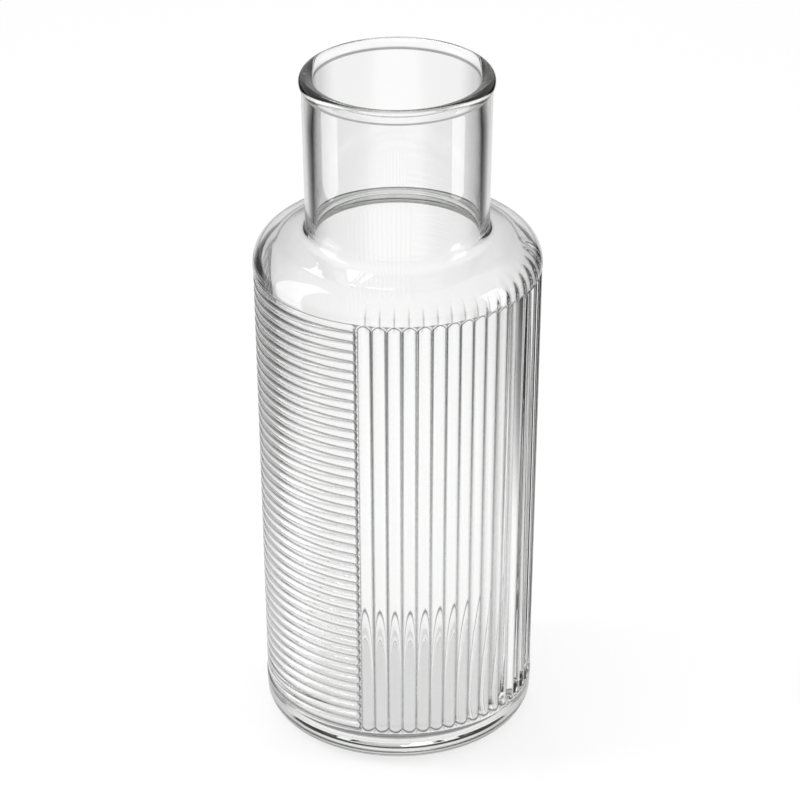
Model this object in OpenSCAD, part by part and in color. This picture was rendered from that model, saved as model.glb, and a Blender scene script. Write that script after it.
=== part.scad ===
// Water carafe: one mould-blown vessel of clear glass.
// A tapered body with a thick floor carries two panels of raised ribs, upright reeds and
// level rings, which meet at a seam on the front. The back is smooth. Above the body are a
// round shoulder and a wide neck with a beaded rim.
// The origin is at the middle of the resting ring and +Z is up. The seam faces -Y, with the
// reeds on the +X side of it and the rings on the -X side.

/* [Overall] */
// Height from the floor to the crown of the rim
carafe_h = 236; // [215:1:280]

/* [Body] */
// Diameter over the ribs where the shoulder starts
body_d = 96; // [90:0.5:108]
// Diameter that the tapered wall would have at the floor
base_d = 91; // [84:0.5:96]
// Height at which the wall turns into the shoulder
wall_h = 169; // [130:1:180]
// Thickness of the wall under the crests of the ribs
wall = 3.7; // [3:0.1:4.5]
// Thickness of the glass floor
floor_thick = 6; // [4:0.5:9]
// Radius of the round inside corner between floor and wall
floor_corner_r = 5; // [3:0.5:8]
// Radius of the round between the wall and the underside
foot_r = 8.5; // [5:0.5:11]
// Width of the flat ring that the carafe stands on
rest_ring_w = 3; // [2:0.5:12]
// Depth of the shallow hollow in the underside
punt_depth = 0.8; // [0.4:0.1:1.5]

/* [Shoulder] */
// Radius of the round between the wall and the top of the shoulder
shoulder_r = 10; // [8:0.5:13]
// Radius of the round inside, between the wall and the top of the shoulder
inner_shoulder_r = 8; // [6:0.5:10]
// Slope of the top of the shoulder, in degrees from level
shoulder_slope = 10; // [4:1:20]
// Radius of the hollow between the shoulder and the neck
neck_fillet_r = 2.7; // [2:0.1:5]
// Radius of the round inside, where the shoulder opens into the neck
throat_r = 5.5; // [4:0.5:7]

/* [Neck] */
// Diameter of the neck just above the shoulder
neck_d = 60.7; // [59:0.1:64]
// Thickness of the wall at the foot of the neck
neck_wall = 3.15; // [2.5:0.05:3.5]
// How far the outside of the neck leans out on its way up to the rim
neck_flare = 0.9; // [0:0.1:1.4]
// How far the bead of the rim stands out past the neck
bead_out = 0.75; // [0.4:0.05:1.2]

/* [Ribs] */
// Height of the crests above the valleys
rib_depth = 1.3; // [0.8:0.05:1.4]
// Number of reeds that would fill a whole turn
reeds_per_turn = 60; // [48:1:72]
// Number of reeds in their panel
reed_count = 18; // [10:1:24]
// Height of one level ring, crest to crest
ring_pitch = 3.6; // [3:0.1:4.5]
// How far round the body the level rings reach, in degrees
ring_span = 86; // [60:1:120]
// Height of the lower end of both panels above the floor
panel_low = 13; // [10:0.5:20]
// Gap between the upper end of both panels and the shoulder
panel_gap = 0.4; // [0.2:0.1:4]

/* [Hidden] */
$fn = 96;

glass_tint = [0.86, 0.9, 0.88, 0.45];

// How far the crests of the ribs lie below the smooth wall above and below them
crest_drop = 0.15;
// How far the wall between the ribs lies below the bottoms of the valleys
root_relief = 0.15;
// Height of the round by which the wall falls to the roots at the lower end of the ribs
run_out_low = 1.7;
// Height of the longer round at their upper end, which gives the reeds their arched heads
run_out_high = 5;
// Angle of the seam where the reeds and the level rings meet
seam_angle = -90;
// Length over which the tip of a level ring, or the side of the smooth back, rises from the roots
tip_run = 2.1;
// Gap between those tips or sides and the ends of their panels
tip_gap = 0.4;
// Height of the straight band at the widest of the rim's bead
bead_band = 0.3;
// How far a cutting or trimming shape reaches past what it cuts
overrun = 0.8;

bore_r = neck_d / 2 - neck_wall;
neck_top_r = neck_d / 2 + neck_flare;
root_depth = crest_drop + rib_depth + root_relief;
panel_top = wall_h - panel_gap;
taper = atan((body_d - base_d) / 2 / wall_h);

// Outer radius of the tapered wall, over the ribs, at a height
function wall_r(z) = base_d / 2 + (body_d - base_d) / 2 * z / wall_h;
// Radius of the tapered wall, at a height, a depth below the crests
function depth_r(z, depth) = wall_r(z) - depth / cos(taper);
// Point at an angle on a circle
function on_circle(centre, r, angle) = centre + r * [cos(angle), sin(angle)];

// Centres of the rounds, worked out so that each touches both of its neighbours
foot_centre = [depth_r(foot_r, foot_r), foot_r];
shoulder_centre = [depth_r(wall_h, shoulder_r), wall_h];
slope_end_x = neck_d / 2 + neck_fillet_r;
slope_turn = 90 - shoulder_slope;
inner_shift = (inner_shoulder_r - shoulder_r + wall) / (1 + cos(slope_turn + taper));
inner_centre = on_circle(on_circle(shoulder_centre, -inner_shift, -taper), -inner_shift, slope_turn);
// Height over the shoulder's centre of the line that lies a distance outside its sloping top
function slope_z(x, out) =
    shoulder_centre[1] + (shoulder_r + out) / cos(shoulder_slope)
    + (shoulder_centre[0] - x) * tan(shoulder_slope);
fillet_centre = [slope_end_x, slope_z(slope_end_x, neck_fillet_r)];
throat_centre = [bore_r + throat_r, slope_z(bore_r + throat_r, throat_r - wall)];
rim_r = (neck_top_r + bead_out - bore_r) / 2;
rim_centre = [bore_r + rim_r, carafe_h - rim_r];
corner_z = floor_thick + floor_corner_r;
corner_centre = [depth_r(corner_z, wall + floor_corner_r), corner_z];
rest_ring_outer = foot_centre[0];
rest_ring_inner = rest_ring_outer - rest_ring_w;

// Rounds by which the wall falls to the roots of the ribs
function round_r(run, rise) = (run * run + rise * rise) / (2 * rise);
low_r = round_r(run_out_low, root_depth);
high_r = round_r(run_out_high, root_depth);
low_end = [wall_r(panel_low), panel_low];
high_end = [wall_r(panel_top), panel_top];
low_centre = on_circle(on_circle(low_end, run_out_low, 90 - taper), low_r - root_depth, -taper);
high_centre = on_circle(on_circle(high_end, -run_out_high, 90 - taper), high_r - root_depth, -taper);

// Depth inside the wall at which the ribs are rooted
root_line = (root_depth + wall) / 2;

// Reeds whose neighbours meet at the stated depth below the crests, at mid height
crest_r = depth_r((panel_low + panel_top) / 2, crest_drop);
valley_r = crest_r - rib_depth;
reed_step = 360 / reeds_per_turn;
valley_reach = valley_r * cos(reed_step / 2);
reed_r =
    (crest_r * crest_r + valley_r * valley_r - 2 * crest_r * valley_reach)
    / (2 * (crest_r - valley_reach));
reed_low = panel_low - overrun;
reed_length = (panel_top - panel_low + 2 * overrun) / cos(taper);
function reed_angle(i) = seam_angle + (i + 1 / 2) * reed_step;

// Level rings at an even pitch that fills the panel
ring_count = round((panel_top - panel_low) / ring_pitch);
ring_gap = (panel_top - panel_low) / ring_count;
ring_r = (pow(ring_gap / 2, 2) + rib_depth * rib_depth) / (2 * rib_depth);
function ring_z(i) = panel_low + (i + 1 / 2) * ring_gap;

// The smooth back, from the last reed round to the far ends of the rings
back_start = seam_angle + reed_count * reed_step;
back_span = 360 - reed_count * reed_step - ring_span;

// Band that the rings are cut to, from inside the wall to outside the crests
ring_band = [
    [depth_r(panel_low, root_line), panel_low],
    [wall_r(panel_low) + overrun, panel_low],
    [wall_r(panel_top) + overrun, panel_top],
    [depth_r(panel_top, root_line), panel_top]
];
// Band that fills the wall out to its smooth face at the back
back_band = [
    [depth_r(panel_low, root_line), panel_low],
    low_end,
    high_end,
    [depth_r(panel_top, root_line), panel_top]
];
// Core that keeps the reeds clear of the inside of the wall
core_low = reed_low - reed_r * sin(taper) - overrun;
core_high = panel_top + 2 * overrun;
core_line = [
    [0, core_low],
    [depth_r(core_low, root_line), core_low],
    [depth_r(core_high, root_line), core_high],
    [0, core_high]
];

// Straight middle of the recess that holds the ribs, between its two rounds
recess_line = [
    on_circle(low_centre, low_r, 180 - taper),
    on_circle(low_centre, overrun, -taper),
    on_circle(high_centre, overrun, -taper),
    on_circle(high_centre, high_r, 180 - taper)
];

// Outside of the wall without its recess, from the middle of the underside up to the rim
outer_line = [
    [0, punt_depth],
    [rest_ring_inner - punt_depth, punt_depth],
    [rest_ring_inner, 0],
    [rest_ring_outer, 0],
    on_circle(foot_centre, foot_r, -taper),
    on_circle(shoulder_centre, shoulder_r, -taper),
    on_circle(shoulder_centre, shoulder_r, slope_turn),
    on_circle(fillet_centre, neck_fillet_r, slope_turn - 180),
    [neck_d / 2, fillet_centre[1]],
    [neck_top_r, rim_centre[1]],
    [0, rim_centre[1]]
];

// Inside of the wall, from the middle of the floor up through the mouth
cavity_line = [
    [0, floor_thick],
    [corner_centre[0], floor_thick],
    on_circle(corner_centre, floor_corner_r, -taper),
    on_circle(inner_centre, inner_shoulder_r, -taper),
    on_circle(inner_centre, inner_shoulder_r, slope_turn),
    on_circle(throat_centre, throat_r, slope_turn - 180),
    [bore_r, throat_centre[1]],
    [bore_r, carafe_h + overrun],
    [0, carafe_h + overrun]
];

module disc(centre, r) {
    translate(centre)
        circle(r = r);
}

module recess_section() {
    polygon(recess_line);
    disc(low_centre, low_r);
    disc(high_centre, high_r);
}

module outer_section() {
    difference() {
        union() {
            polygon(outer_line);
            disc(foot_centre, foot_r);
            disc(shoulder_centre, shoulder_r);
        }
        disc(fillet_centre, neck_fillet_r);
        recess_section();
    }
}

module cavity_section() {
    difference() {
        union() {
            polygon(cavity_line);
            disc(corner_centre, floor_corner_r);
            disc(inner_centre, inner_shoulder_r);
        }
        disc(throat_centre, throat_r);
    }
}

// The round bead of the rim, with a straight band at its widest
module bead_section() {
    disc(rim_centre, rim_r);
    disc(rim_centre - [0, bead_band], rim_r);
    translate([bore_r, rim_centre[1] - bead_band])
        square([2 * rim_r, bead_band]);
}

// The vessel's wall, floor, shoulder, neck and rim in one turned piece
module vessel_wall() {
    rotate_extrude()
        union() {
            difference() {
                outer_section();
                cavity_section();
            }
            bead_section();
        }
}

// One upright reed, a round bar that leans with the wall and ends inside the glass
module reed() {
    translate([depth_r(reed_low, crest_drop + reed_r), 0, reed_low])
        rotate([0, taper, 0])
            cylinder(r = reed_r, h = reed_length);
}

// The panel of upright reeds, kept out of the cavity
module reed_panel() {
    difference() {
        for (i = [0 : reed_count - 1])
            rotate([0, 0, reed_angle(i)])
                reed();
        rotate_extrude()
            polygon(core_line);
    }
}

// The level rings, cut square at both ends of their panel
module ring_bars() {
    rotate_extrude(angle = ring_span)
        intersection() {
            polygon(ring_band);
            union()
                for (i = [0 : ring_count - 1])
                    disc([depth_r(ring_z(i), crest_drop + ring_r), ring_z(i)], ring_r);
        }
}

// Block with a round face, which cuts the side of a panel down to the roots
module tip_cut(rise) {
    tip_r = round_r(tip_run, rise);
    translate([depth_r(reed_low, root_depth), tip_gap, reed_low])
        rotate([0, taper, 0])
            difference() {
                translate([-root_relief, -2 * tip_gap, 0])
                    cube([root_depth + root_relief + overrun, 2 * tip_gap + tip_run, reed_length]);
                translate([rise - tip_r, tip_run, -overrun])
                    cylinder(r = tip_r, h = reed_length + 2 * overrun);
            }
}

// Rounds off both sides of a turned panel that spans an angle and stands out from the roots
module rounded_sides(span, rise) {
    difference() {
        children();
        tip_cut(rise);
        rotate([0, 0, span])
            mirror([0, 1, 0])
                tip_cut(rise);
    }
}

// The panel of level rings, which ends at the seam
module ring_panel() {
    rotate([0, 0, seam_angle - ring_span])
        rounded_sides(ring_span, root_depth - crest_drop)
            ring_bars();
}

// The smooth back, flush with the wall above and below it
module smooth_back() {
    rotate([0, 0, back_start])
        rounded_sides(back_span, root_depth)
            rotate_extrude(angle = back_span)
                polygon(back_band);
}

module glass_vessel() {
    color(glass_tint)
        union() {
            vessel_wall();
            reed_panel();
            ring_panel();
            smooth_back();
        }
}

glass_vessel();
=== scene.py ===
"""Clear glass water carafe with ribs on its front, on a white table in soft studio light."""

import math
import bpy
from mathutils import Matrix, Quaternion, Vector


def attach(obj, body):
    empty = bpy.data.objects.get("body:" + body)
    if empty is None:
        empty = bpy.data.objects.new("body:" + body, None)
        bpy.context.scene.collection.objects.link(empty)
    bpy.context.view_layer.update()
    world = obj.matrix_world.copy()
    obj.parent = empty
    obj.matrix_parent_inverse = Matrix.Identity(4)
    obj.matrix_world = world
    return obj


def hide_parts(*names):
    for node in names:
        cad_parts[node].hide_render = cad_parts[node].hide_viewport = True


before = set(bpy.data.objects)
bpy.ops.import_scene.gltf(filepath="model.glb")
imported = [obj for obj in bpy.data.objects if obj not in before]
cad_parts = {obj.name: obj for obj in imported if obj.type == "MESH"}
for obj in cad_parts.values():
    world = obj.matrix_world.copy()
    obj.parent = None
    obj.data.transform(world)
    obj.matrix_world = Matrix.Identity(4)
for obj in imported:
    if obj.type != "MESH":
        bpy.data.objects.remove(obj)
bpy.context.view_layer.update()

MM = 0.001

# Sizes of the turned wall, as the part's source has them
HEIGHT = 236 * MM
BODY_R = 48 * MM
BASE_R = 45.5 * MM
WALL_H = 169 * MM
WALL = 3.7 * MM
FLOOR = 6 * MM
FLOOR_CORNER_R = 5 * MM
FOOT_R = 8.5 * MM
REST_RING_W = 3 * MM
PUNT = 0.8 * MM
SHOULDER_R = 10 * MM
SHOULDER_SLOPE = 10
INNER_SHOULDER_R = 8 * MM
NECK_FILLET_R = 2.7 * MM
THROAT_R = 5.5 * MM
NECK_R = 30.35 * MM
NECK_WALL = 3.15 * MM
NECK_FLARE = 0.9 * MM
BEAD_OUT = 0.75 * MM
BEAD_BAND = 0.3 * MM

# Sizes of the ribs
RIB_DEPTH = 1.3 * MM
CREST_DROP = 0.15 * MM
ROOT_RELIEF = 0.15 * MM
RUN_OUT_LOW = 1.7 * MM
RUN_OUT_HIGH = 5 * MM
PANEL_LOW = 13 * MM
PANEL_GAP = 0.4 * MM
TIP_RUN = 2.1 * MM
TIP_GAP = 0.4 * MM
REEDS_PER_TURN = 60
REED_COUNT = 18
RING_PITCH = 3.6 * MM
RING_SPAN = math.radians(86)
VALLEY_ROUND = 0.1 * MM
SWELL_HEIGHT = 0.45 * MM
SWELL_LOW = 11 * MM
SWELL_TOP = 175 * MM
SWELL_FADE = 7 * MM

# Painted shade: fine grey lines in the glass's colour along the valleys and ends of the ribs, and inside at
# the swells' tops and the floor corner. Where those of the ribs start between crest and valley, how strong
# they are, how wide they are and how far they curve round the ends of the ribs
REED_LINE_START = 0.36
RING_LINE_START = 0.30
PAINTED_SHADE_GREY = 0.03
REED_LINE_SHARE = 0.56
RING_LINE_SHARE = 0.72
SWELL_LINE_SHARE = 0.73
SWELL_LINE_END = 0.12
SWELL_LINE_FADE = 5 * MM
LINE_HALF = 0.5 * MM
FOOT_LINE_HALF = 0.8 * MM
CORNER_LINE_HALF = 1.7 * MM
CORNER_LINE_DROP = 0.7 * MM
FOOT_SCALLOP = 3 * MM
HEAD_SCALLOP = 10 * MM
TIP_SCALLOP = 5 * MM

# Looks of the glass: its painted shade where it is seen face on and where it turns away, the tint of a
# thick layer, faint waves of the moulded face and wear of the resting ring
GLASS_IOR = 1.5
FACE_ON = (0.38, 0.97)
TURNED_AWAY = (0.9, 0.2)
LAYER_TINT = (0.93, 0.945, 0.91, 1)
LAYER_DENSITY = 6.0
WAVE_SCALE = 55
WAVE_DETAIL = 1
WAVE_HEIGHT = 0.03 * MM
SCUFF_SCALE = 900
SCUFF_DETAIL = 4
SCUFF_FADE = (0.1 * MM, 0.5 * MM)
SCUFF_ROUGHNESS = 0.3

# The camera's place, from the photograph: 28 degrees above the table, with a long lens
CAMERA_AZIMUTH = math.radians(16.4)
CAMERA_ELEVATION = math.radians(28.14)
CAMERA_DISTANCE = 1.362
CAMERA_AIM_Z = 0.1166
CAMERA_ASIDE = 0.67 * MM
CAMERA_ROLL = math.radians(-0.145)
CAMERA_CLIP = 50
FOCAL_PIXELS = 4053
IMAGE_PIXELS = 800
SENSOR_MM = 36

# The white table, with a painted pool of light: the share of its glow, and the distances between which
# that painted light fades, with the least that is left, across the view and along it; the lit part widens
# along the view
TABLE_HALF = 6.0
TABLE_GLOW = 1.12
GLOW_SHARE = 0.6
FADE_ACROSS = (0.13, 0.20, 0.32)
FADE_FAR_ACROSS = (0.18, 0.26, 0.15)
FADE_ALONG = (0.75, 1.50, 0.40)
WIDENING = 1.6
ROOM_GREY = 0.7

# Lamps, each with its width, height and power. The strips stand on the table, at an angle round
# from the camera's side and a distance away; the softbox hangs behind the carafe
STRIPS = {
    "left_strip": (math.radians(-88), 0.42, 0.20, 0.75, 1.5),
    "right_strip": (math.radians(77), 0.42, 0.14, 0.40, 0.6),
}
SOFTBOX_PLACE = Vector((-0.38, 0.79, 1.0))
SOFTBOX_SIZES = (0.25, 0.15, 0.8)

# Fineness of the wall's mesh
COARSE_COLUMNS = 180
SWELL_COLUMNS = 12
PLAIN_COLUMNS = 96
REED_SHARES = (0, 0.012, 0.035, 0.08, 0.15, 0.25, 0.37, 0.5, 0.63, 0.75, 0.85, 0.92, 0.965, 0.988)
RING_SHARES = (0, 0.016, 0.05, 0.12, 0.22, 0.35, 0.5, 0.65, 0.78, 0.88, 0.95, 0.984)
RUN_OUT_ROWS = 16
STRAIGHT_ROWS = 16
RING_COLUMNS = 54
BACK_COLUMNS = 72
TIP_COLUMNS = 12
CRISP = 0.3 * MM
LINING_ROWS = (WALL_H - 3 * MM, WALL_H - 6 * MM, SWELL_LOW + SWELL_FADE, SWELL_LOW + SWELL_FADE / 2)
LINING_END = -30

NECK_TOP_R = NECK_R + NECK_FLARE
BORE_R = NECK_R - NECK_WALL
BEAD_R = (NECK_TOP_R + BEAD_OUT - BORE_R) / 2
PANEL_TOP = WALL_H - PANEL_GAP
ROOT_DEPTH = CREST_DROP + RIB_DEPTH + ROOT_RELIEF
TAPER = math.atan((BODY_R - BASE_R) / WALL_H)
TAPER_DEG = math.degrees(TAPER)
FULL_TURN = 2 * math.pi
SEAM = -math.pi / 2
REED_STEP = FULL_TURN / REEDS_PER_TURN
REED_SPAN = REED_COUNT * REED_STEP
RING_START = FULL_TURN - RING_SPAN
RING_COUNT = round((PANEL_TOP - PANEL_LOW) / RING_PITCH)
RING_GAP = (PANEL_TOP - PANEL_LOW) / RING_COUNT


def wall_r(z):
    """Outer radius of the tapered wall, over the ribs, at a height."""
    return BASE_R + (BODY_R - BASE_R) * z / WALL_H


def depth_r(z, depth):
    """Radius of the tapered wall, at a height, a depth below the crests."""
    return wall_r(z) - depth / math.cos(TAPER)


def slope_z(x, out):
    """Height of the line that lies a distance outside the shoulder's sloping top."""
    slope = math.radians(SHOULDER_SLOPE)
    rise = (SHOULDER_R + out) / math.cos(slope) + (SHOULDER_CENTRE[0] - x) * math.tan(slope)
    return SHOULDER_CENTRE[1] + rise


def inner_shoulder_centre():
    """Centre of the wider round inside the shoulder, which touches the inside of wall and slope."""
    wall_way = (math.cos(TAPER), -math.sin(TAPER))
    slope = math.radians(SHOULDER_SLOPE)
    slope_way = (math.sin(slope), math.cos(slope))
    shift = (INNER_SHOULDER_R - SHOULDER_R + WALL) / (1 + math.cos(math.pi / 2 - slope + TAPER))
    return tuple(c - shift * (a + b) for c, a, b in zip(SHOULDER_CENTRE, wall_way, slope_way))


# Centres of the rounds, each touching both of its neighbours
CORNER_Z = FLOOR + FLOOR_CORNER_R
CORNER_CENTRE = (depth_r(CORNER_Z, WALL + FLOOR_CORNER_R), CORNER_Z)
FOOT_CENTRE = (depth_r(FOOT_R, FOOT_R), FOOT_R)
SHOULDER_CENTRE = (depth_r(WALL_H, SHOULDER_R), WALL_H)
INNER_SHOULDER_CENTRE = inner_shoulder_centre()
FILLET_CENTRE = (NECK_R + NECK_FILLET_R, slope_z(NECK_R + NECK_FILLET_R, NECK_FILLET_R))
THROAT_CENTRE = (BORE_R + THROAT_R, slope_z(BORE_R + THROAT_R, THROAT_R - WALL))
BEAD_CENTRE = (BORE_R + BEAD_R, HEIGHT - BEAD_R)


def arc(centre, r, start, end, steps):
    """Points on a round of the outline, from one angle to another, in degrees."""
    turns = [math.radians(start + (end - start) * i / steps) for i in range(steps + 1)]
    return [(centre[0] + r * math.cos(t), centre[1] + r * math.sin(t)) for t in turns]


def between(a, b, steps):
    """Points on a straight stretch of the outline, without its ends."""
    return [(a[0] + (b[0] - a[0]) * i / steps, a[1] + (b[1] - a[1]) * i / steps) for i in range(1, steps)]


def beside(a, b, away):
    """Point on the way from a to b, a distance before b, which keeps the corner at b crisp."""
    share = 1 - away / math.dist(a, b)
    return [(a[0] + (b[0] - a[0]) * share, a[1] + (b[1] - a[1]) * share)]


def outline_below():
    """Outline from the lower end of the ribs down to the middle of the underside."""
    ring_outer = FOOT_CENTRE[0]
    ring_inner = ring_outer - REST_RING_W
    punt_r = ring_inner - PUNT
    foot = arc(FOOT_CENTRE, FOOT_R, -TAPER_DEG, -90, 22)
    points = between((wall_r(PANEL_LOW), PANEL_LOW), foot[0], 5) + foot
    points += between((ring_outer, 0), (ring_inner, 0), 8) + [(ring_inner, 0)]
    points += between((ring_inner, 0), (punt_r, PUNT), 3) + [(punt_r, PUNT)]
    return points + beside((0, PUNT), (punt_r, PUNT), CRISP) + between((punt_r, PUNT), (0, PUNT), 6)


def outline_above():
    """Outline from the upper end of the ribs over the rim and down the inside of the neck."""
    slope_turn = 90 - SHOULDER_SLOPE
    shoulder = arc(SHOULDER_CENTRE, SHOULDER_R, -TAPER_DEG, slope_turn, 22)
    fillet = arc(FILLET_CENTRE, NECK_FILLET_R, slope_turn + 180, 180, 12)
    bead_foot = -math.degrees(math.acos((NECK_TOP_R - BEAD_CENTRE[0]) / BEAD_R))
    bead_low = arc((BEAD_CENTRE[0], BEAD_CENTRE[1] - BEAD_BAND), BEAD_R, bead_foot, 0, 6)
    bead = bead_low + arc(BEAD_CENTRE, BEAD_R, 0, 180, 24)
    throat = arc(THROAT_CENTRE, THROAT_R, 180, slope_turn + 180, 14)
    points = shoulder + between(shoulder[-1], fillet[0], 6) + fillet
    points += between(fillet[-1], bead[0], 4) + beside(fillet[-1], bead[0], CRISP) + bead
    return points + between(bead[-1], throat[0], 4) + throat


def outline_inside():
    """Outline down the inside of the wall, which swells a little behind the reeds."""
    shoulder = arc(INNER_SHOULDER_CENTRE, INNER_SHOULDER_R, 90 - SHOULDER_SLOPE, -TAPER_DEG, 18)
    wall = [(depth_r(z, WALL), z) for z in LINING_ROWS]
    return shoulder + wall + arc(CORNER_CENTRE, FLOOR_CORNER_R, -TAPER_DEG, LINING_END, 4)


def outline_floor():
    """Outline from the round corner over the floor to its middle."""
    corner = arc(CORNER_CENTRE, FLOOR_CORNER_R, LINING_END, -90, 8)
    return corner[1:] + between(corner[-1], (0, FLOOR), 6)


def spread(start, end, steps):
    """Even values from a start to an end, both included."""
    return [start + (end - start) * i / steps for i in range(steps + 1)]


def reed_turns():
    """Angles past the seam of the columns over the reeds and the smooth back."""
    turns = [(i + share) * REED_STEP for i in range(REED_COUNT) for share in REED_SHARES]
    rise = (TIP_GAP + TIP_RUN) / BODY_R
    gap = TIP_GAP / BODY_R
    turns += [REED_SPAN]
    turns += spread(REED_SPAN + gap, REED_SPAN + rise, TIP_COLUMNS)
    turns += spread(REED_SPAN + rise, RING_START - rise, BACK_COLUMNS)[1:-1]
    turns += spread(RING_START - rise, RING_START - gap, TIP_COLUMNS)
    return turns


def ring_turns():
    """Angles past the seam of the columns over the level rings."""
    gap = TIP_GAP / BODY_R
    rise = gap + TIP_RUN / BODY_R
    turns = spread(RING_START + gap, RING_START + rise, TIP_COLUMNS)
    turns += spread(RING_START + rise, FULL_TURN - rise, RING_COLUMNS)[1:-1]
    turns += spread(FULL_TURN - rise, FULL_TURN - gap, TIP_COLUMNS)
    return turns


def inner_turns():
    """Angles past the seam of the columns inside the wall, close together behind the reeds."""
    turns = spread(0, REED_SPAN, REED_COUNT * SWELL_COLUMNS)
    return turns + spread(REED_SPAN, FULL_TURN, PLAIN_COLUMNS)[1:-1]


def run_out_steps(run):
    """Distances from a panel's end that lie evenly on the round by which the wall falls to the roots."""
    r = (run * run + ROOT_DEPTH * ROOT_DEPTH) / (2 * ROOT_DEPTH)
    return [run - r * math.sin(turn) for turn in spread(math.asin(run / r), 0, RUN_OUT_ROWS)]


def reed_rows():
    """Heights of the rows over the reeds, close together where the wall falls to their roots."""
    low = run_out_steps(RUN_OUT_LOW)
    high = run_out_steps(RUN_OUT_HIGH)
    rows = [PANEL_LOW + step for step in low]
    rows += spread(PANEL_LOW + RUN_OUT_LOW, PANEL_TOP - RUN_OUT_HIGH, STRAIGHT_ROWS)[1:-1]
    return rows + [PANEL_TOP - step for step in reversed(high)]


def ring_rows():
    """Heights of the rows over the level rings, close together at the valleys."""
    rows = [PANEL_LOW + (i + share) * RING_GAP for i in range(RING_COUNT) for share in RING_SHARES]
    return rows + [PANEL_TOP]


class TurnedWall:
    """The vertices and faces of the vessel's wall, collected row by row."""

    def __init__(self):
        self.points = []
        self.turns = []
        self.in_panel = []
        self.in_lining = []
        self.faces = []

    def row(self, r, z, turns, in_panel=False, in_lining=False):
        """Adds vertices at one height and radius, and returns their numbers."""
        first = len(self.points)
        for turn in turns:
            self.points.append((r * math.cos(turn + SEAM), r * math.sin(turn + SEAM), z))
            self.turns.append(turn)
            self.in_panel.append(in_panel)
            self.in_lining.append(in_lining)
        return list(range(first, len(self.points)))

    def panel(self, turns, rows):
        """Adds a panel of four-sided faces, and returns its rows of vertices."""
        grid = [self.row(wall_r(z), z, turns, in_panel=True) for z in rows]
        for low, high in zip(grid[:-1], grid[1:]):
            for j in range(len(turns) - 1):
                self.faces.append((low[j], low[j + 1], high[j + 1], high[j]))
        return grid

    def zipped(self, a, b, keys_a, keys_b, flip):
        """Joins two lines of vertices by triangles, each line with its own rising keys."""
        if keys_a == keys_b:
            for j in range(len(a) - 1):
                face = (a[j], a[j + 1], b[j + 1], b[j])
                self.faces.append(face[::-1] if flip else face)
            return
        i = j = 0
        while i < len(a) - 1 or j < len(b) - 1:
            if j == len(b) - 1 or (i < len(a) - 1 and keys_a[i + 1] <= keys_b[j + 1]):
                face = (a[i], a[i + 1], b[j])
                i += 1
            else:
                face = (a[i], b[j + 1], b[j])
                j += 1
            self.faces.append(face[::-1] if flip else face)

    def stacked(self, outline, row, keys, turns, flip, in_lining=False):
        """Turns an outline on from a row of vertices, and returns its last row."""
        for r, z in outline:
            new = self.row(r, z, turns, in_lining=in_lining)
            self.zipped(row + row[:1], new + new[:1], keys + [FULL_TURN], turns + [FULL_TURN], flip)
            row, keys = new, turns
        return row

    def closed(self, row, z, flip):
        """Closes a row of vertices at its pole."""
        pole = self.row(0, z, [0])[0]
        for a, b in zip(row, row[1:] + row[:1]):
            self.faces.append((b, a, pole) if flip else (a, b, pole))


def turned_wall():
    """The whole vessel without its ribs, as one closed mesh whose points know their panel."""
    wall = TurnedWall()
    reeds = wall.panel(reed_turns(), reed_rows())
    rings = wall.panel(ring_turns(), ring_rows())
    reed_end = [row[-1] for row in reeds]
    reed_start = [row[0] for row in reeds]
    ring_start = [row[0] for row in rings]
    ring_end = [row[-1] for row in rings]
    wall.zipped(reed_end, ring_start, reed_rows(), ring_rows(), flip=True)
    wall.zipped(ring_end, reed_start, ring_rows(), reed_rows(), flip=True)
    turns = reed_turns() + ring_turns()
    even = spread(0, FULL_TURN, COARSE_COLUMNS)[:-1]
    row = wall.stacked(outline_above(), reeds[-1] + rings[-1], turns, even, flip=False)
    row = wall.stacked(outline_inside(), row, even, inner_turns(), flip=False, in_lining=True)
    row = wall.stacked(outline_floor(), row, inner_turns(), even, flip=False)
    wall.closed(row, FLOOR, flip=False)
    row = wall.stacked(outline_below(), reeds[0] + rings[0], turns, even, flip=True)
    wall.closed(row, PUNT, flip=True)
    mesh = bpy.data.meshes.new("turned_wall")
    mesh.from_pydata(wall.points, [], wall.faces)
    mesh.attributes.new("turn", "FLOAT", "POINT").data.foreach_set("value", wall.turns)
    mesh.attributes.new("in_panel", "BOOLEAN", "POINT").data.foreach_set("value", wall.in_panel)
    mesh.attributes.new("in_lining", "BOOLEAN", "POINT").data.foreach_set("value", wall.in_lining)
    mesh.shade_smooth()
    return mesh


class Field:
    """A number that varies over the wall: a node's output, with plain arithmetic."""

    def __init__(self, tree, socket):
        self.tree = tree
        self.socket = socket

    def math(self, operation, *others):
        """What a math node makes of this field and others."""
        node = self.tree.nodes.new("ShaderNodeMath")
        node.operation = operation
        for socket, value in zip(node.inputs, (self, *others)):
            put(self.tree, socket, value)
        return Field(self.tree, node.outputs[0])

    def __add__(self, other):
        return self.math("ADD", other)

    def __sub__(self, other):
        return self.math("SUBTRACT", other)

    def __mul__(self, other):
        return self.math("MULTIPLY", other)

    def __truediv__(self, other):
        return self.math("DIVIDE", other)

    def __neg__(self):
        return self * -1

    def __abs__(self):
        return self.math("ABSOLUTE")


def put(tree, socket, value):
    """Sets a socket to a field, by a link, or to a plain value."""
    if isinstance(value, Field):
        tree.links.new(value.socket, socket)
    else:
        socket.default_value = value


def pick(condition, yes, no):
    """One of two fields, by a third that is 0 or 1."""
    node = condition.tree.nodes.new("GeometryNodeSwitch")
    node.input_type = "FLOAT"
    for socket, value in zip(node.inputs, (condition, no, yes)):
        put(condition.tree, socket, value)
    return Field(condition.tree, node.outputs[0])


def attribute(tree, name, kind):
    """A named attribute of the wall, as a field."""
    node = tree.nodes.new("GeometryNodeInputNamedAttribute")
    node.data_type = kind
    node.inputs["Name"].default_value = name
    return Field(tree, node.outputs["Attribute"])


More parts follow.
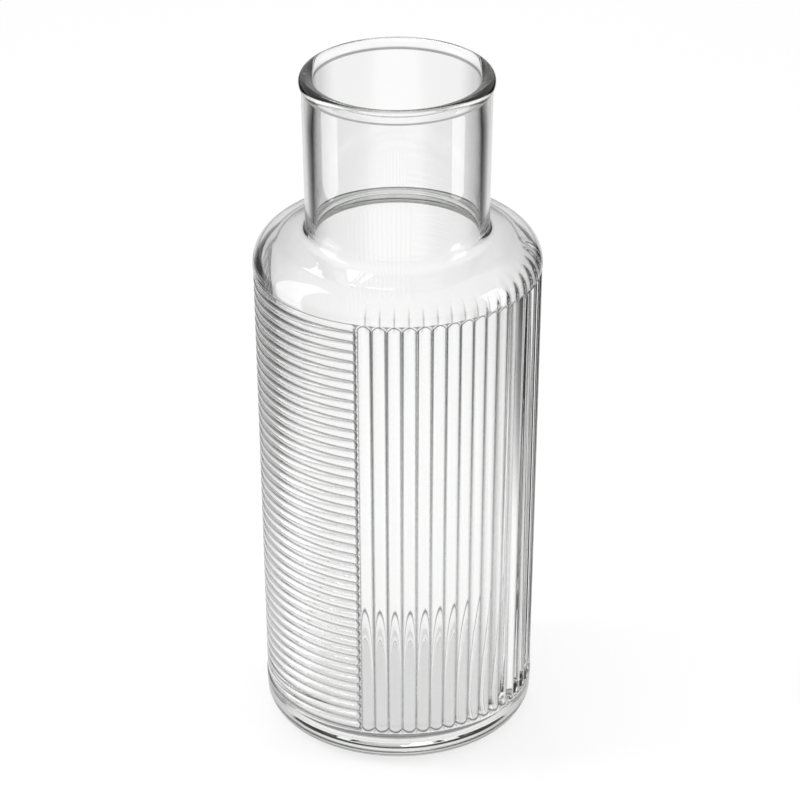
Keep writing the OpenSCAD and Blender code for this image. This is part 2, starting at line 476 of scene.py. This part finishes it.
def round_rib(beside, width, size):
    """Height, under the smooth wall, of a row of round ribs, by the distance beside the nearest crest."""
    half = width / 2
    r = (half * half + size["Rib depth"] * size["Rib depth"]) / (size["Rib depth"] * 2)

    def face(away):
        return (r * r - away * away).math("MAXIMUM", 0).math("SQRT") - r - size["Crest drop"]

    return face(beside).math("SMOOTH_MAX", face(width - beside), size["Valley round"])


def round_rise(away, run, rise):
    """Height on a round that starts steeply and is level once it is a run away."""
    r = (run * run + rise * rise) / (rise * 2)
    left = run - away.math("MINIMUM", run).math("MAXIMUM", 0)
    return (r * r - left * left).math("SQRT") - r + rise


def nearest_crest(place):
    """Distance from a place, counted in ribs, to the nearest crest."""
    return abs(place - place.math("FLOOR") - 0.5)


CARVER_SIZES = {
    "Rib depth": RIB_DEPTH,
    "Crest drop": CREST_DROP,
    "Root depth": ROOT_DEPTH,
    "Valley round": VALLEY_ROUND,
    "Run out low": RUN_OUT_LOW,
    "Run out high": RUN_OUT_HIGH,
    "Panel low": PANEL_LOW,
    "Panel top": PANEL_TOP,
    "Tip run": TIP_RUN,
    "Tip gap": TIP_GAP,
    "Reed step": REED_STEP,
    "Reed width": 2 * depth_r((PANEL_LOW + PANEL_TOP) / 2, CREST_DROP) * math.sin(REED_STEP / 2),
    "Reed span": REED_SPAN,
    "Ring start": RING_START,
    "Ring gap": RING_GAP,
    "Wall radius": BODY_R,
    "Swell height": SWELL_HEIGHT,
    "Swell low": SWELL_LOW,
    "Swell top": SWELL_TOP,
    "Swell fade": SWELL_FADE,
}


def rib_heights(size, turn, z):
    """Height of the ribbed face over the smooth wall, at an angle past the seam and a height."""
    fall_low = round_rise(z - size["Panel low"], size["Run out low"], size["Root depth"])
    fall_high = round_rise(size["Panel top"] - z, size["Run out high"], size["Root depth"])
    recess = -fall_low.math("MINIMUM", fall_high)
    reeds = round_rib(nearest_crest(turn / size["Reed step"]) * size["Reed width"], size["Reed width"], size)
    rings = round_rib(nearest_crest((z - size["Panel low"]) / size["Ring gap"]) * size["Ring gap"],
                      size["Ring gap"], size)

    def round_end(before, after, rise):
        """Round by which a panel rises from the roots beside its nearer end."""
        away = before.math("MINIMUM", after) * size["Wall radius"] - size["Tip gap"]
        return round_rise(away, size["Tip run"], rise) - size["Root depth"]

    tips = round_end(turn - size["Ring start"], -turn + FULL_TURN, size["Root depth"] - size["Crest drop"])
    rings = rings.math("MINIMUM", tips)
    back = round_end(turn - size["Reed span"], size["Ring start"] - turn, size["Root depth"])
    over_reeds = (turn - size["Reed span"]).math("LESS_THAN", REED_STEP / 1000)
    over_rings = (turn - size["Ring start"]).math("GREATER_THAN", 0)
    ribs = pick(over_reeds, reeds, pick(over_rings, rings, back))
    return recess.math("SMOOTH_MAX", ribs, size["Valley round"]).math("MINIMUM", 0)


def swell_offsets(size, turn, z):
    """Shift outward of the inside of the wall, which swells inward a little behind each reed."""
    place = turn / size["Reed step"]
    wave = (place * FULL_TURN).math("COSINE") * -0.5 + 0.5
    over_reeds = (turn - size["Reed span"]).math("LESS_THAN", 0)
    ends = (z - size["Swell low"]).math("MINIMUM", size["Swell top"] - z) / size["Swell fade"]
    ends = ends.math("MINIMUM", 1).math("MAXIMUM", 0)
    return -(wave * over_reeds * ends * size["Swell height"])


def rib_carver():
    """Geometry Nodes tree that lowers the turned wall to its reeds, level rings and smooth back."""
    tree = bpy.data.node_groups.new("rib_carver", "GeometryNodeTree")
    tree.interface.new_socket("Wall", in_out="INPUT", socket_type="NodeSocketGeometry")
    for name in CARVER_SIZES:
        tree.interface.new_socket(name, in_out="INPUT", socket_type="NodeSocketFloat")
    tree.interface.new_socket("Glass", in_out="INPUT", socket_type="NodeSocketMaterial")
    tree.interface.new_socket("Vessel", in_out="OUTPUT", socket_type="NodeSocketGeometry")
    group_in = tree.nodes.new("NodeGroupInput")
    group_out = tree.nodes.new("NodeGroupOutput")
    size = {name: Field(tree, group_in.outputs[name]) for name in CARVER_SIZES}
    place = tree.nodes.new("GeometryNodeInputPosition")
    axes = tree.nodes.new("ShaderNodeSeparateXYZ")
    tree.links.new(place.outputs[0], axes.inputs[0])
    outward = tree.nodes.new("ShaderNodeCombineXYZ")
    tree.links.new(axes.outputs["X"], outward.inputs["X"])
    tree.links.new(axes.outputs["Y"], outward.inputs["Y"])
    unit = tree.nodes.new("ShaderNodeVectorMath")
    unit.operation = "NORMALIZE"
    tree.links.new(outward.outputs[0], unit.inputs[0])
    turn = attribute(tree, "turn", "FLOAT")
    z = Field(tree, axes.outputs["Z"])
    in_panel = attribute(tree, "in_panel", "BOOLEAN")
    height = pick(in_panel, rib_heights(size, turn, z) / math.cos(TAPER), swell_offsets(size, turn, z))
    shift = tree.nodes.new("ShaderNodeVectorMath")
    shift.operation = "SCALE"
    tree.links.new(unit.outputs[0], shift.inputs[0])
    put(tree, shift.inputs["Scale"], height)
    carve = tree.nodes.new("GeometryNodeSetPosition")
    tree.links.new(group_in.outputs["Wall"], carve.inputs["Geometry"])
    put(tree, carve.inputs["Selection"], in_panel.math("MAXIMUM", attribute(tree, "in_lining", "BOOLEAN")))
    tree.links.new(shift.outputs[0], carve.inputs["Offset"])
    realize = tree.nodes.new("GeometryNodeRealizeInstances")
    tree.links.new(carve.outputs[0], realize.inputs[0])
    finish = tree.nodes.new("GeometryNodeSetMaterial")
    tree.links.new(realize.outputs[0], finish.inputs["Geometry"])
    tree.links.new(group_in.outputs["Glass"], finish.inputs["Material"])
    tree.links.new(finish.outputs[0], group_out.inputs["Vessel"])
    return tree


def plain_mesh(obj):
    """Turns what an object's modifiers make into its own mesh, and removes them."""
    evaluated = obj.evaluated_get(bpy.context.evaluated_depsgraph_get())
    mesh = bpy.data.meshes.new_from_object(evaluated)
    obj.modifiers.clear()
    obj.data = mesh


def glass_vessel(glass):
    """The one piece of glass: the turned wall with its ribs carved."""
    obj = bpy.data.objects.new("clear_glass_vessel", turned_wall())
    bpy.context.scene.collection.objects.link(obj)
    carver = obj.modifiers.new("rib_carver", "NODES")
    tree = rib_carver()
    carver.node_group = tree
    values = {**CARVER_SIZES, "Glass": glass}
    for item in tree.interface.items_tree:
        if item.in_out == "INPUT" and item.name in values:
            carver[item.identifier] = values[item.name]
    plain_mesh(obj)
    return obj


def ramp(field, start, end):
    """A field turned into a share that rises smoothly from 0 to 1 between two values."""
    node = field.tree.nodes.new("ShaderNodeMapRange")
    node.interpolation_type = "SMOOTHSTEP"
    for name, value in (("Value", field), ("From Min", start), ("From Max", end)):
        put(field.tree, node.inputs[name], value)
    return Field(field.tree, node.outputs[0])


def greatest(first, *others):
    """The greatest of some fields."""
    for other in others:
        first = first.math("MAXIMUM", other)
    return first


def fine_line(distance, half=LINE_HALF):
    """Closeness, from 0 to 1, to the line where a distance is zero."""
    return -ramp(abs(distance), 0, half) + 1


def reed_shade_lines(beside, z):
    """Painted shade at the valleys, feet and heads of the reeds, as closeness by the distance beside a
    crest.
    """
    valley = ramp(beside, REED_LINE_START, 0.5) * REED_LINE_SHARE
    foot = fine_line(z - PANEL_LOW - LINE_HALF - beside * beside * FOOT_SCALLOP, FOOT_LINE_HALF)
    head = fine_line(-z + PANEL_TOP - LINE_HALF - beside * beside * HEAD_SCALLOP)
    return greatest(valley, foot, head)


def ring_shade_lines(beside, turn, z):
    """Painted shade at the valleys and tips of the level rings and at the lower end of their panel, as
    closeness.
    """
    valley = ramp(beside, RING_LINE_START, 0.5) * RING_LINE_SHARE
    tip = fine_line((-turn + FULL_TURN) * BODY_R - TIP_GAP - beside * beside * TIP_SCALLOP)
    foot = fine_line(z - PANEL_LOW - LINE_HALF, FOOT_LINE_HALF)
    return greatest(valley, tip, foot)


def swell_shade_lines(beside, z):
    """Painted shade at the upper ends of the swells inside the wall, behind the reeds' heads, as closeness.
    """
    line = -ramp(beside, 0, SWELL_LINE_END) + 1
    below = ramp(z, PANEL_TOP - SWELL_LINE_FADE, PANEL_TOP)
    above = -ramp(z, PANEL_TOP, PANEL_TOP + SWELL_LINE_FADE) + 1
    return line * below * above * SWELL_LINE_SHARE


def painted_shade_lines(x, y, z):
    """Closeness to the fine lines of painted shade: those of the ribs, and inside those of swells and floor
    corner.
    """
    turn = (x.math("ARCTAN2", -y) / FULL_TURN).math("FRACT") * FULL_TURN
    over_reeds = turn.math("LESS_THAN", REED_SPAN)
    over_rings = turn.math("GREATER_THAN", RING_START + TIP_GAP / BODY_R)
    beside_reed = nearest_crest(turn / REED_STEP)
    beside_ring = nearest_crest((z - PANEL_LOW) / RING_GAP)
    reeds = reed_shade_lines(beside_reed, z) * over_reeds
    rings = ring_shade_lines(beside_ring, turn, z) * over_rings
    in_panel = z.math("GREATER_THAN", PANEL_LOW) * z.math("LESS_THAN", PANEL_TOP)
    untapered_r = (x * x + y * y).math("SQRT") - z * math.tan(TAPER)
    outside = untapered_r.math("GREATER_THAN", BASE_R - (WALL + ROOT_DEPTH) / 2)
    corner = fine_line(z - CORNER_Z + CORNER_LINE_DROP, CORNER_LINE_HALF)
    lining = greatest(swell_shade_lines(beside_reed, z) * over_reeds, corner)
    return greatest(greatest(reeds, rings) * in_panel * outside, lining * (-outside + 1))


def object_axes(tree):
    """A material's place on its object, and the place's X, Y and Z."""
    place = tree.nodes.new("ShaderNodeTexCoord").outputs["Object"]
    axes = tree.nodes.new("ShaderNodeSeparateXYZ")
    tree.links.new(place, axes.inputs[0])
    return place, [Field(tree, socket) for socket in axes.outputs]


def noise(tree, place, scale, detail):
    """Random pattern on the glass, from 0 to 1."""
    node = tree.nodes.new("ShaderNodeTexNoise")
    node.inputs["Scale"].default_value = scale
    node.inputs["Detail"].default_value = detail
    tree.links.new(place, node.inputs["Vector"])
    return Field(tree, node.outputs[0])


def painted_edge_shade(tree):
    """Painted shade in the glass's colour, which gets darker where the surface turns away."""
    facing = tree.nodes.new("ShaderNodeLayerWeight")
    facing.inputs["Blend"].default_value = 0.5
    shade = tree.nodes.new("ShaderNodeValToRGB")
    for step, (place, grey) in zip(shade.color_ramp.elements, (FACE_ON, TURNED_AWAY)):
        step.position = place
        step.color = (grey, grey, grey, 1)
    tree.links.new(facing.outputs["Facing"], shade.inputs[0])
    return shade.outputs[0]


def clear_glass():
    """Clear moulded glass: faintly wavy, with painted shade as grey fine lines and as darkening where it
    turns away.
    """
    mat = bpy.data.materials.new("clear_glass")
    mat.use_nodes = True
    tree = mat.node_tree
    bsdf = tree.nodes["Principled BSDF"]
    bsdf.inputs["IOR"].default_value = GLASS_IOR
    bsdf.inputs["Transmission Weight"].default_value = 1.0
    place, (x, y, z) = object_axes(tree)
    # Painted shade: the fine lines multiply the glass's colour by a dark grey
    line_shaded = tree.nodes.new("ShaderNodeMix")
    line_shaded.data_type = "RGBA"
    line_shaded.blend_type = "MULTIPLY"
    put(tree, line_shaded.inputs["Factor"], painted_shade_lines(x, y, z))
    tree.links.new(painted_edge_shade(tree), line_shaded.inputs["A"])
    line_shaded.inputs["B"].default_value = (PAINTED_SHADE_GREY, PAINTED_SHADE_GREY, PAINTED_SHADE_GREY, 1)
    tree.links.new(line_shaded.outputs["Result"], bsdf.inputs["Base Color"])
    waves = tree.nodes.new("ShaderNodeBump")
    waves.inputs["Strength"].default_value = 1
    waves.inputs["Distance"].default_value = WAVE_HEIGHT
    put(tree, waves.inputs["Height"], noise(tree, place, WAVE_SCALE, WAVE_DETAIL))
    tree.links.new(waves.outputs[0], bsdf.inputs["Normal"])
    at_rest = -ramp(z, *SCUFF_FADE) + 1
    scuffs = at_rest * noise(tree, place, SCUFF_SCALE, SCUFF_DETAIL) * SCUFF_ROUGHNESS
    put(tree, bsdf.inputs["Roughness"], scuffs)
    tint = tree.nodes.new("ShaderNodeVolumeAbsorption")
    tint.inputs["Color"].default_value = LAYER_TINT
    tint.inputs["Density"].default_value = LAYER_DENSITY
    tree.links.new(tint.outputs[0], tree.nodes["Material Output"].inputs["Volume"])
    return mat


def fade(distance, start, end, least):
    """Share of the light that is left at a distance, by a smooth fall between two distances."""
    return -ramp(abs(distance), start, end) * (1 - least) + 1


def painted_light_table():
    """Table top with a painted pool of light: it glows round the carafe, is painted darker away from it and
    takes its shadow.
    """
    mat = bpy.data.materials.new("painted_light_table")
    mat.use_nodes = True
    tree = mat.node_tree
    tree.nodes.clear()
    x, y, _ = object_axes(tree)[1]
    # Painted pool of light: the table's colour and glow fade away from the carafe
    across = x / (abs(y) * WIDENING + 1)
    light = fade(across, *FADE_ACROSS) * fade(across, *FADE_FAR_ACROSS) * fade(y, *FADE_ALONG)
    matt = tree.nodes.new("ShaderNodeBsdfDiffuse")
    put(tree, matt.inputs["Color"], light)
    glow = tree.nodes.new("ShaderNodeEmission")
    put(tree, glow.inputs["Color"], light)
    glow.inputs["Strength"].default_value = TABLE_GLOW
    mix = tree.nodes.new("ShaderNodeMixShader")
    mix.inputs[0].default_value = GLOW_SHARE
    tree.links.new(matt.outputs[0], mix.inputs[1])
    tree.links.new(glow.outputs[0], mix.inputs[2])
    out = tree.nodes.new("ShaderNodeOutputMaterial")
    tree.links.new(mix.outputs[0], out.inputs[0])
    return mat


def table_top():
    """Table top whose X axis runs across the camera's view."""
    corners = [(-TABLE_HALF, -TABLE_HALF, 0), (TABLE_HALF, -TABLE_HALF, 0),
               (TABLE_HALF, TABLE_HALF, 0), (-TABLE_HALF, TABLE_HALF, 0)]
    mesh = bpy.data.meshes.new("table_top")
    mesh.from_pydata(corners, [], [(0, 1, 2, 3)])
    obj = bpy.data.objects.new("table_top", mesh)
    obj.rotation_euler.z = CAMERA_AZIMUTH
    obj.data.materials.append(painted_light_table())
    bpy.context.scene.collection.objects.link(obj)
    return obj


def camera():
    """Camera that looks down on the middle of the carafe."""
    ahead = Vector((-math.sin(CAMERA_AZIMUTH) * math.cos(CAMERA_ELEVATION),
                    math.cos(CAMERA_AZIMUTH) * math.cos(CAMERA_ELEVATION),
                    -math.sin(CAMERA_ELEVATION)))
    right = Vector((math.cos(CAMERA_AZIMUTH), math.sin(CAMERA_AZIMUTH), 0))
    data = bpy.data.cameras.new("camera")
    data.sensor_width = SENSOR_MM
    data.lens = SENSOR_MM * FOCAL_PIXELS / IMAGE_PIXELS
    data.clip_end = CAMERA_CLIP
    obj = bpy.data.objects.new("camera", data)
    obj.location = Vector((0, 0, CAMERA_AIM_Z)) + right * CAMERA_ASIDE - ahead * CAMERA_DISTANCE
    level = ahead.to_track_quat("-Z", "Y")
    obj.rotation_euler = (level @ Quaternion((0, 0, 1), CAMERA_ROLL)).to_euler()
    bpy.context.scene.collection.objects.link(obj)
    return obj


def studio_world():
    """Dim, even room round the table."""
    world = bpy.data.worlds.new("studio")
    world.use_nodes = True
    backdrop = world.node_tree.nodes["Background"]
    backdrop.inputs["Color"].default_value = (ROOM_GREY, ROOM_GREY, ROOM_GREY, 1)
    backdrop.inputs["Strength"].default_value = 1.0
    return world


def softbox(name, place, aim_z, width, height, power):
    """Lamp with a soft rectangular face, turned towards a height on the carafe's axis."""
    light = bpy.data.lights.new(name, "AREA")
    light.shape = "RECTANGLE"
    light.size = width
    light.size_y = height
    light.energy = power
    obj = bpy.data.objects.new(name, light)
    obj.location = place
    obj.rotation_euler = (Vector((0, 0, aim_z)) - place).to_track_quat("-Z", "Y").to_euler()
    bpy.context.scene.collection.objects.link(obj)
    return obj


def strip_light(name, turn, away, width, height, power):
    """Upright lamp that stands on the table beside the carafe, unseen through the glass."""
    turn += CAMERA_AZIMUTH
    place = Vector((away * math.sin(turn), -away * math.cos(turn), height / 2))
    softbox(name, place, place.z, width, height, power).visible_transmission = False


vessel = glass_vessel(clear_glass())
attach(vessel, "root")
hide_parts("glass_vessel")

table_top()
scene = bpy.context.scene
scene.camera = camera()
scene.world = studio_world()
for strip, sizes in STRIPS.items():
    strip_light(strip, *sizes)
softbox("back_softbox", SOFTBOX_PLACE, HEIGHT / 2, *SOFTBOX_SIZES)

scene.view_settings.view_transform = "Standard"
scene.cycles.max_bounces = 24
scene.cycles.transmission_bounces = 24
scene.cycles.glossy_bounces = 12
